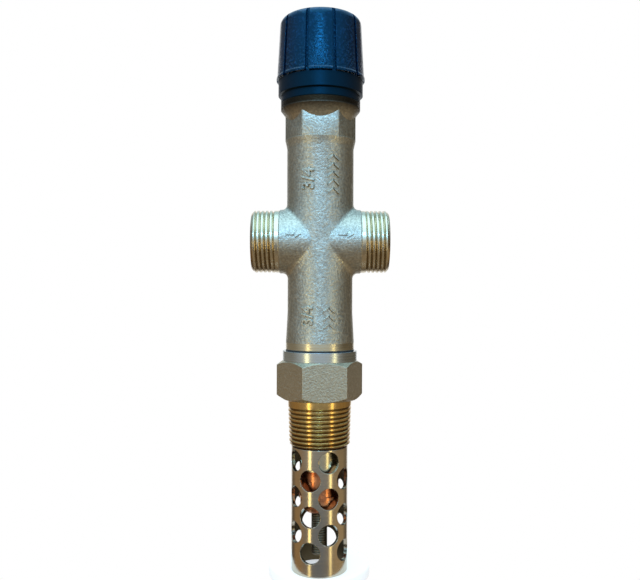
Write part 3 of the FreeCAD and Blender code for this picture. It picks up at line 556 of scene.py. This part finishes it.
def moulded_black(name, colour, grain_scale, relief, roughness, speckle, gloss, fade=None):
    """Moulded plastic: a fine spark-eroded texture, worn smoother upward between the heights of a fade."""
    finish = Finish(name, 0.0)
    grain = finish.noise(grain_scale, detail=2.0)
    worn = finish.noise(90, detail=4.0)
    tone = finish.blend(finish.share(worn), shade(colour, 0.8), shade(colour, 1.25))
    finish.colour(finish.blend(finish.share(grain, 0.50, 0.72), tone, shade(colour, speckle)))
    finish.rough(finish.between(grain, *roughness))
    finish.shader.inputs["Specular IOR Level"].default_value = gloss
    finish.shader.inputs["Specular Tint"].default_value = BLUE_SHEEN
    if fade:
        flat = (0.5, 0.5, 0.5)
        kept = finish.between(finish.coordinate("Z"), 1.0, WORN_GRAIN, *fade)
        grain = finish.blend(kept, flat, grain)
    finish.bump([(grain, relief, 0.6)], EDGE)
    return finish.material


def seal_rubber(name="black_rubber"):
    """Black seal rubber with a dusty bloom."""
    finish = Finish(name, 0.0)
    bloom = finish.noise(400, detail=4.0)
    finish.colour(finish.blend(finish.share(bloom), (0.012, 0.012, 0.013), (0.035, 0.034, 0.033)))
    finish.rough(finish.between(bloom, 0.50, 0.72))
    finish.bump([(finish.noise(1800, detail=2.0), 0.00002, 0.4)])
    return finish.material


def steel(name):
    """Bright drawn steel with faint lines."""
    finish = Finish(name, 1.0)
    lines = finish.noise(1.0, detail=3.0, stretch=(900.0, 900.0, 160.0))
    finish.colour(finish.blend(finish.share(lines), (0.46, 0.47, 0.48), (0.62, 0.62, 0.62)))
    finish.rough(finish.between(lines, 0.22, 0.38))
    finish.bump([(lines, 0.00002, 0.3)])
    return finish.material


def white_plastic():
    """Slippery white bearing plastic."""
    finish = Finish("white_plastic", 0.0)
    cloud = finish.noise(300, detail=3.0)
    finish.colour(finish.blend(finish.share(cloud), (0.68, 0.68, 0.65), (0.80, 0.80, 0.78)))
    finish.rough(finish.between(cloud, 0.35, 0.48))
    finish.bump([(cloud, 0.00002, 0.2)])
    return finish.material


def paint_node(node, material):
    """Give a CAD node its material."""
    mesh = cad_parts[node].data
    mesh.materials.clear()
    mesh.materials.append(material)


def paint_by_place(mesh, materials, choose):
    """Give each face the material that a rule picks from its centre and normal."""
    mesh.materials.clear()
    for material in materials:
        mesh.materials.append(material)
    for face in mesh.polygons:
        face.material_index = choose(face.center, face.normal)


def raised_text(name, text, height, relief):
    """Figures as a flat mesh, centred on the origin, reading along +X and rising along +Z."""
    curve = bpy.data.curves.new(name, "FONT")
    curve.body = text
    curve.size = height / FIGURE_SHARE
    curve.align_x = "CENTER"
    curve.align_y = "CENTER"
    curve.extrude = relief
    curve.bevel_depth = relief * 0.35
    curve.resolution_u = 4
    holder = bpy.data.objects.new(name, curve)
    bpy.context.scene.collection.objects.link(holder)
    solved = holder.evaluated_get(bpy.context.evaluated_depsgraph_get())
    mesh = bpy.data.meshes.new_from_object(solved)
    bpy.data.objects.remove(holder)
    return mesh


def raised_outline(name, loops, relief):
    """Closed outlines as a flat mesh that rises along +Z, with a sloping edge."""
    build = bmesh.new()
    for loop in loops:
        centre = sum((Vector((*point, 0.0)) for point in loop), Vector()) / len(loop)
        foot = [build.verts.new((x, y, -relief)) for x, y in loop]
        crown = []
        for x, y in loop:
            inward = (centre - Vector((x, y, 0.0))).normalized() * relief * 0.5
            crown.append(build.verts.new((x + inward.x, y + inward.y, relief)))
        build.faces.new(crown)
        for index in range(len(loop)):
            beside = (index + 1) % len(loop)
            build.faces.new((foot[index], foot[beside], crown[beside], crown[index]))
    return finished_mesh(build, name)


def wrap_upright(mesh, radius, height, azimuth):
    """Bend a flat mesh round the valve's axis so that it reads upwards at an azimuth from the front."""
    build = bmesh.new()
    build.from_mesh(mesh)
    longest = radius * 0.05
    split = [edge for edge in build.edges if edge.calc_length() > longest]
    bmesh.ops.subdivide_edges(build, edges=split, cuts=3)
    bmesh.ops.triangulate(build, faces=build.faces)
    for vertex in build.verts:
        along, across, rise = vertex.co
        angle = azimuth - across / radius
        out = radius + rise
        vertex.co = (out * math.sin(angle), -out * math.cos(angle), height + along)
    mesh = finished_mesh(build, mesh.name)
    soften(mesh, degrees=40)
    return mesh


def wrap_port(mesh, radius, axis_height, along_x, lift):
    """Bend a flat mesh round the port axis so that it points along +X on a neck's front, above the axis."""
    build = bmesh.new()
    build.from_mesh(mesh)
    bmesh.ops.triangulate(build, faces=build.faces)
    for vertex in build.verts:
        along, across, rise = vertex.co
        angle = (across + lift) / radius
        out = radius + rise
        vertex.co = (along_x + along, -out * math.cos(angle), axis_height + out * math.sin(angle))
    mesh = finished_mesh(build, mesh.name)
    soften(mesh, degrees=40)
    return mesh


def chevron(at, size):
    """The two strokes of a chevron that points along +X."""
    arm = size * 0.5
    width = size * 0.224
    tip = at + arm * 0.8
    return [
        [(at, arm), (at + width, arm), (tip + width, 0), (tip, 0)],
        [(tip, 0), (tip + width, 0), (at + width, -arm), (at, -arm)],
    ]


def flow_arrow():
    """The shaft and the head of an arrow that points along +X."""
    tail = -0.0033
    neck = 0.0006
    tip = 0.0036
    shaft = 0.0005
    barb = 0.0018
    return [
        [(tail, shaft), (neck, shaft), (neck, -shaft), (tail, -shaft)],
        [(neck, barb), (tip, 0.0), (neck, -barb)],
    ]


class VALVE_OT_forged_body(bpy.types.Operator):
    """Cut the port threads into the forging and raise its marks"""

    bl_idname = "valve.forged_body"
    bl_label = "Forged Body"

    def execute(self, context):
        threads = context.scene.valve_threads
        finishes = context.scene.valve_finishes
        body = copy_of_node("valve_body", "forged_body")
        first = BODY_HIGH.x + threads.pitch
        last = threads.port_start + GROOVE_STOP
        fade = threads.port_start + threads.pitch

        def lift_at(height):
            return max(0.0, (fade - height) / threads.pitch) * threads.depth * GROOVE_CLIMB

        for side in (1, -1):
            turn = Matrix.Rotation(math.radians(90 * side), 4, "Y")
            place = Matrix.Translation((0, 0, threads.port_height)) @ turn
            take_away(body, groove("port_groove", threads, place, first, last, lift_at))
        soften(body.data)
        crest = threads.port_radius
        axis = threads.port_height
        # The port threads get painted shade in their roots below the port axis.
        port_thread = thread_brass(
            "port_thread_brass", tuple(finishes.port), centre=(0, 0, axis), keep=(0, 1, 1),
            root=crest - threads.depth, crest=crest, dark=(0.95, 0.93, 0.86), roughness=(0.20, 0.32),
            lower_shade=((0.52, 0.42, 0.28), axis - ROOTS_BELOW_AXIS, axis + ROOTS_ABOVE_AXIS))
        # Painted shade under the collar, on the downward faces and the rim near the top of the forging.
        collar_shade_material = forged_brass(finishes, "collar_shade_brass", COLLAR_SHADE_HEIGHTS)
        materials = [forged_brass(finishes), port_thread, turned_brass(finishes, "bore_brass"), collar_shade_material]
        forged, port, bore, collar_shade = range(len(materials))

        def choose(centre, normal):
            if abs(centre.x) > threads.port_start + PORT_FACE_GAP:
                return port
            out = math.hypot(centre.x, centre.y)
            if centre.z > FLATS_TOP and (normal.z < DOWNWARD or out > RIM_RADIUS):
                return collar_shade
            return bore if out < BORE_RADIUS or centre.z < FOOT_TOP else forged

        paint_by_place(body.data, materials, choose)
        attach(body, "valve")
        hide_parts("valve_body")
        self.raise_marks(context, materials[forged])
        return {"FINISHED"}

    def raise_marks(self, context, material):
        """Plain size figures, chevrons and flow arrows, standing off the forging."""
        marks = context.scene.valve_marks
        axis = context.scene.valve_threads.port_height
        # Name, scale, radius, height of the middle and azimuth from the front.
        figures = (
            ("upper_size_mark", 1.0, UPPER_MARK_RADIUS, 0.0920, math.radians(-20)),
            ("lower_size_mark", 0.9, LOWER_MARK_RADIUS, 0.0356, math.radians(-21)),
        )
        for name, scale, radius, height, azimuth in figures:
            flat = raised_text(name, marks.size_text, marks.height * scale, marks.relief)
            self.place(wrap_upright(flat, radius, height, azimuth), name, material)
        # Name, count, place of the first, radius, height of the middle and azimuth from the front.
        rows = (
            ("upper_chevrons", 5, -0.0085, UPPER_MARK_RADIUS, 0.0940, math.radians(22)),
            ("lower_chevrons", 3, -0.0055, LOWER_MARK_RADIUS, 0.0350, math.radians(15)),
        )
        for name, count, first, radius, height, azimuth in rows:
            strokes = []
            for number in range(count):
                strokes += chevron(first + number * CHEVRON_STEP, marks.height)
            flat = raised_outline(name, strokes, marks.relief)
            self.place(wrap_upright(flat, radius, height, azimuth), name, material)
        for name, along_x in (("inlet_arrow", -0.0112), ("outlet_arrow", 0.0106)):
            flat = raised_outline(name, flow_arrow(), marks.relief)
            self.place(wrap_port(flat, NECK_MARK_RADIUS, axis, along_x, ARROW_LIFT), name, material)

    def place(self, mesh, name, material):
        """Set a raised mark on the forging."""
        mesh.materials.append(material)
        piece = show(name, mesh)
        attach(piece, "valve")


class VALVE_OT_connector(bpy.types.Operator):
    """Finish the connector's hexagon, thread and turned faces, and the seal above it"""

    bl_idname = "valve.connector"
    bl_label = "Connector"

    def execute(self, context):
        threads = context.scene.valve_threads
        finishes = context.scene.valve_finishes
        crest = threads.boiler_radius
        boiler_thread = thread_brass(
            "boiler_thread_brass", tuple(finishes.thread), centre=(0, 0, 0), keep=(1, 1, 0),
            root=crest - threads.depth, crest=crest, dark=(0.30, 0.24, 0.17), taper=threads.boiler_taper)
        collar = turned_brass(finishes, "collar_brass", tuple(finishes.collar_brass), (0.20, 0.30))
        materials = [hexagon_brass(finishes), boiler_thread, collar]
        hexagon, thread, faced = range(len(materials))

        def choose(centre, normal):
            if centre.z < BOILER_THREAD_TOP:
                return thread
            outside = math.hypot(centre.x, centre.y) > BORE_RADIUS
            return hexagon if outside and centre.z < HEXAGON_TOP and abs(normal.z) < LEVEL else faced

        paint_by_place(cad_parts["connector"].data, materials, choose)
        paint_node("connector_gasket", seal_rubber("joint_seal"))
        return {"FINISHED"}


class VALVE_OT_sleeve(bpy.types.Operator):
    """Finish the perforated sleeve and the thermal element inside it"""

    bl_idname = "valve.sleeve"
    bl_label = "Sleeve and Element"

    def execute(self, context):
        finishes = context.scene.valve_finishes
        tube = turned_brass(finishes, "sleeve_brass", tuple(finishes.sleeve), (0.15, 0.23))
        # Painted shade: the faces that line the sleeve get a far darker, rougher brass.
        inside_shade = tinted(finishes.sleeve, (0.24, 0.21, 0.15))
        shaded_lining = turned_brass(finishes, "shaded_sleeve_brass", inside_shade, (0.45, 0.60))
        materials = [tube, shaded_lining]
        outside, inside = range(len(materials))

        def choose(centre, normal):
            outward = normal.x * centre.x + normal.y * centre.y
            return inside if outward < SLEEVE_INWARD and abs(normal.z) < UPRIGHT else outside

        paint_by_place(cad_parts["sensor_sleeve"].data, materials, choose)
        paint_node("element_guide", turned_brass(finishes, "guide_brass", roughness=(0.18, 0.30)))
        paint_node("element_capsule", copper(finishes))
        paint_node("element_stud", stud_brass(finishes))
        paint_node("element_piston", steel("piston_steel"))
        return {"FINISHED"}


class VALVE_OT_knob(bpy.types.Operator):
    """Finish the ribbed knob, its screw and the smooth collar under it"""

    bl_idname = "valve.knob"
    bl_label = "Knob and Collar"

    def execute(self, context):
        finishes = context.scene.valve_finishes
        knob = moulded_black(
            "black_knob", tuple(finishes.knob), grain_scale=900, relief=0.00055, roughness=(0.12, 0.20),
            speckle=3.0, gloss=0.58, fade=KNOB_FADE_HEIGHTS)
        paint_node("knob", knob)
        collar = moulded_black(
            "black_collar", tuple(finishes.collar), grain_scale=2400, relief=0.00003, roughness=(0.34, 0.46),
            speckle=1.1, gloss=0.34)
        paint_node("collar_ring", collar)
        paint_node("knob_screw", steel("screw_steel"))
        return {"FINISHED"}


class VALVE_OT_spring(bpy.types.Operator):
    """Wind the setting spring from round wire, and give it a mesh of its own"""

    bl_idname = "valve.spring"
    bl_label = "Setting Spring"

    def execute(self, context):
        wire = 0.0009
        mean = SPRING_HIGH.x - wire
        low = SPRING_LOW.z + wire
        high = SPRING_HIGH.z - wire
        turns = 6.5
        steps = 40
        count = int(turns * steps)
        around = 10
        build = bmesh.new()
        rows = []
        for step in range(count + 1):
            angle = 2 * math.pi * turns * step / count
            height = low + (high - low) * step / count
            centre = Vector((mean * math.cos(angle), mean * math.sin(angle), height))
            outward = Vector((math.cos(angle), math.sin(angle), 0.0))
            row = []
            for corner in range(around):
                bend = 2 * math.pi * corner / around
                rim = outward * math.cos(bend) + Vector((0, 0, 1)) * math.sin(bend)
                row.append(build.verts.new(centre + rim * wire))
            rows.append(row)
        join_rows(build, rows)
        spring = show("wound_spring", finished_mesh(build, "wound_spring"))
        soften(spring.data, degrees=50)
        spring.data.materials.append(steel("spring_steel"))
        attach(spring, "valve")
        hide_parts("setting_spring")
        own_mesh(spring)
        return {"FINISHED"}


class VALVE_OT_inner_parts(bpy.types.Operator):
    """Finish the brass, steel and rubber pieces inside the valve"""

    bl_idname = "valve.inner_parts"
    bl_label = "Inner Parts"

    def execute(self, context):
        finishes = context.scene.valve_finishes
        inner_brass = turned_brass(finishes, "inner_brass")
        inner_steel = steel("inner_steel")
        rubber = seal_rubber()
        for node in ("gland_bush", "bonnet", "spring_plate", "disc_holder", "disc_nut"):
            paint_node(node, inner_brass)
        for node in ("adjusting_spindle", "spindle_clip", "valve_stem"):
            paint_node(node, inner_steel)
        for node in ("gland_gasket", "stem_o_ring", "bonnet_o_ring", "spindle_o_ring", "disc_washer"):
            paint_node(node, rubber)
        paint_node("thrust_washer", white_plastic())
        return {"FINISHED"}


class VALVE_OT_stage(bpy.types.Operator):
    """Set up the table, the room, the lamps and the camera"""

    bl_idname = "valve.stage"
    bl_label = "Stage"

    def execute(self, context):
        stage = context.scene.valve_stage
        context.scene.view_settings.view_transform = "Standard"
        self.make_table(stage)
        self.make_room(context)
        self.make_lamps(stage)
        camera = bpy.data.cameras.new("camera")
        camera.sensor_width = 36.0
        camera.lens = stage.lens
        camera.shift_y = stage.shift
        camera.clip_start = 0.01
        camera.clip_end = 50.0
        eye = bpy.data.objects.new("camera", camera)
        eye.location = (0.0, -stage.distance, stage.eye_height)
        eye.rotation_euler = (math.radians(90), stage.roll, 0.0)
        context.scene.collection.objects.link(eye)
        context.scene.camera = eye
        return {"FINISHED"}

    def make_table(self, stage):
        """Small round pale table under the valve, which stands near its front edge."""
        top = CAD_BOX[0].z
        foot = top - TABLE_THICKNESS
        middle_top = (0.0, top)
        rim_top = (TABLE_RADIUS, top)
        rim_foot = (TABLE_RADIUS, foot)
        middle_foot = (0.0, foot)
        upper_edge = eased(middle_top, rim_top, rim_foot, TABLE_EDGE)
        lower_edge = eased(rim_top, rim_foot, middle_foot, TABLE_EDGE)
        table = turned("table", [middle_top, *upper_edge, *lower_edge, middle_foot], steps=160)
        table.location.y = TABLE_RADIUS - TABLE_FRONT
        soften(table.data, degrees=40)
        material = bpy.data.materials.new("table_paint")
        material.use_nodes = True
        tree = material.node_tree
        shader = tree.nodes["Principled BSDF"]
        shader.inputs["Base Color"].default_value = (*stage.table, 1.0)
        shader.inputs["Roughness"].default_value = 0.7
        path = tree.nodes.new("ShaderNodeLightPath")
        seen = path.outputs["Is Camera Ray"]
        for ray in ("Is Glossy Ray", "Is Transmission Ray"):
            either = tree.nodes.new("ShaderNodeMath")
            either.operation = "ADD"
            either.use_clamp = True
            tree.links.new(seen, either.inputs[0])
            tree.links.new(path.outputs[ray], either.inputs[1])
            seen = either.outputs[0]
        part = tree.nodes.new("ShaderNodeMath")
        part.operation = "MULTIPLY"
        part.inputs[1].default_value = TABLE_GLOW
        tree.links.new(seen, part.inputs[0])
        glow = tree.nodes.new("ShaderNodeEmission")
        tree.links.new(part.outputs[0], glow.inputs["Strength"])
        both = tree.nodes.new("ShaderNodeAddShader")
        tree.links.new(glow.outputs[0], both.inputs[0])
        tree.links.new(shader.outputs[0], both.inputs[1])
        tree.links.new(both.outputs[0], tree.nodes["Material Output"].inputs["Surface"])
        table.data.materials.append(material)

    def make_room(self, context):
        """Plain room: a white wall behind the valve, dim warm sides, a cool window and a cool ceiling."""
        world = bpy.data.worlds.new("room")
        world.use_nodes = True
        context.scene.world = world
        tree = world.node_tree
        way = tree.nodes.new("ShaderNodeTexCoord").outputs["Generated"]
        split = tree.nodes.new("ShaderNodeSeparateXYZ")
        tree.links.new(way, split.inputs[0])
        x = split.outputs["X"]
        y = split.outputs["Y"]
        z = split.outputs["Z"]

        def share(output, low, high):
            node = tree.nodes.new("ShaderNodeMapRange")
            node.interpolation_type = "SMOOTHSTEP"
            node.inputs["From Min"].default_value = low
            node.inputs["From Max"].default_value = high
            tree.links.new(output, node.inputs["Value"])
            return node.outputs["Result"]

        def blend(factor, first, second):
            return mixed(tree, factor, first, second)

        deep = share(z, -0.62, -0.34)
        rise = share(z, -0.32, -0.06)
        height = share(z, -0.05, 0.20)
        low_front = blend(deep, (0.16, 0.14, 0.11), (0.16, 0.21, 0.29))
        high_front = blend(height, (0.68, 0.64, 0.56), (0.58, 0.97, 1.42))
        front = blend(rise, low_front, high_front)
        low_left = blend(deep, (0.26, 0.20, 0.14), (0.42, 0.27, 0.13))
        left = blend(height, blend(rise, low_left, (0.27, 0.25, 0.21)), (0.19, 0.19, 0.19))
        low_right = blend(deep, (0.28, 0.22, 0.15), (0.50, 0.38, 0.23))
        right = blend(rise, low_right, (0.13, 0.11, 0.08))
        sides = blend(share(x, -0.4, 0.4), left, right)
        facing = tree.nodes.new("ShaderNodeVectorMath")
        facing.operation = "DOT_PRODUCT"
        facing.inputs[1].default_value = WINDOW_WAY
        tree.links.new(way, facing.inputs[0])
        walls = blend(share(facing.outputs["Value"], -0.05, 0.95), sides, front)
        roofed = blend(share(z, 0.38, 0.62), walls, (0.55, 0.88, 1.12))
        dark_floor = blend(share(z, -0.34, -0.08), (0.12, 0.10, 0.08), roofed)
        room = blend(share(y, 0.30, 0.70), roofed, dark_floor)
        across = tree.nodes.new("ShaderNodeMath")
        across.operation = "ABSOLUTE"
        tree.links.new(x, across.inputs[0])
        white_wall = blend(share(across.outputs[0], 0.43, 0.50), (1.0, 1.0, 1.0), room)
        seen = blend(share(y, 0.78, 0.85), room, white_wall)
        tree.links.new(seen, tree.nodes["Background"].inputs["Color"])

    def make_lamps(self, stage):
        """A cool panel overhead, a blue lamp high in front and two slim warm lamps low at the sides."""
        aim = Vector((0.0, 0.0, 0.02))
        warm = (1.0, 0.84, 0.38)
        slim = (0.14, 0.46)
        right_power = stage.lamp_power * 0.7
        lamps = (
            ("panel", stage.panel_power, (0.45, 0.75, 1.0), (-0.10, -0.25, 0.85), (0.9, 1.2)),
            ("left_lamp", stage.lamp_power, warm, (-0.64, -0.77, -0.20), slim),
            ("right_lamp", right_power, warm, (0.72, -0.69, -0.20), slim),
            ("front_lamp", stage.front_power, (0.25, 0.58, 1.0), (-0.03, -0.85, 0.45), (0.30, 0.10)),
        )
        for name, power, colour, place, size in lamps:
            lamp = bpy.data.lights.new(name, "AREA")
            lamp.shape = "RECTANGLE"
            lamp.size, lamp.size_y = size
            lamp.energy = power
            lamp.color = colour
            holder = bpy.data.objects.new(name, lamp)
            holder.location = place
            holder.rotation_euler = (aim - Vector(place)).to_track_quat("-Z", "Y").to_euler()
            holder.visible_camera = False
            bpy.context.scene.collection.objects.link(holder)


class VALVE_PT_sidebar(bpy.types.Panel):
    """Lists the steps that dress the valve"""

    bl_idname = "VALVE_PT_sidebar"
    bl_label = "Discharge Valve"
    bl_space_type = "VIEW_3D"
    bl_region_type = "UI"
    bl_category = "Valve"

    def draw(self, context):
        for step in STEPS:
            self.layout.operator(step.bl_idname)
        for name in SETTINGS:
            group = getattr(context.scene, name)
            for key in group.__annotations__:
                self.layout.prop(group, key)


STEPS = (
    VALVE_OT_stage,
    VALVE_OT_forged_body,
    VALVE_OT_connector,
    VALVE_OT_sleeve,
    VALVE_OT_knob,
    VALVE_OT_spring,
    VALVE_OT_inner_parts,
)
SETTINGS = {
    "valve_threads": ValveThreads,
    "valve_marks": ValveMarks,
    "valve_finishes": ValveFinishes,
    "valve_stage": ValveStage,
}


def register():
    for group in SETTINGS.values():
        bpy.utils.register_class(group)
    for name, group in SETTINGS.items():
        setattr(bpy.types.Scene, name, PointerProperty(type=group))
    for step in STEPS:
        bpy.utils.register_class(step)
    bpy.utils.register_class(VALVE_PT_sidebar)


def unregister():
    bpy.utils.unregister_class(VALVE_PT_sidebar)
    for step in reversed(STEPS):
        bpy.utils.unregister_class(step)
    for name, group in SETTINGS.items():
        delattr(bpy.types.Scene, name)
        bpy.utils.unregister_class(group)


def main():
    register()
    bpy.ops.valve.stage()
    bpy.ops.valve.forged_body()
    bpy.ops.valve.connector()
    bpy.ops.valve.sleeve()
    bpy.ops.valve.knob()
    bpy.ops.valve.spring()
    bpy.ops.valve.inner_parts()


if __name__ == "__main__":
    main()
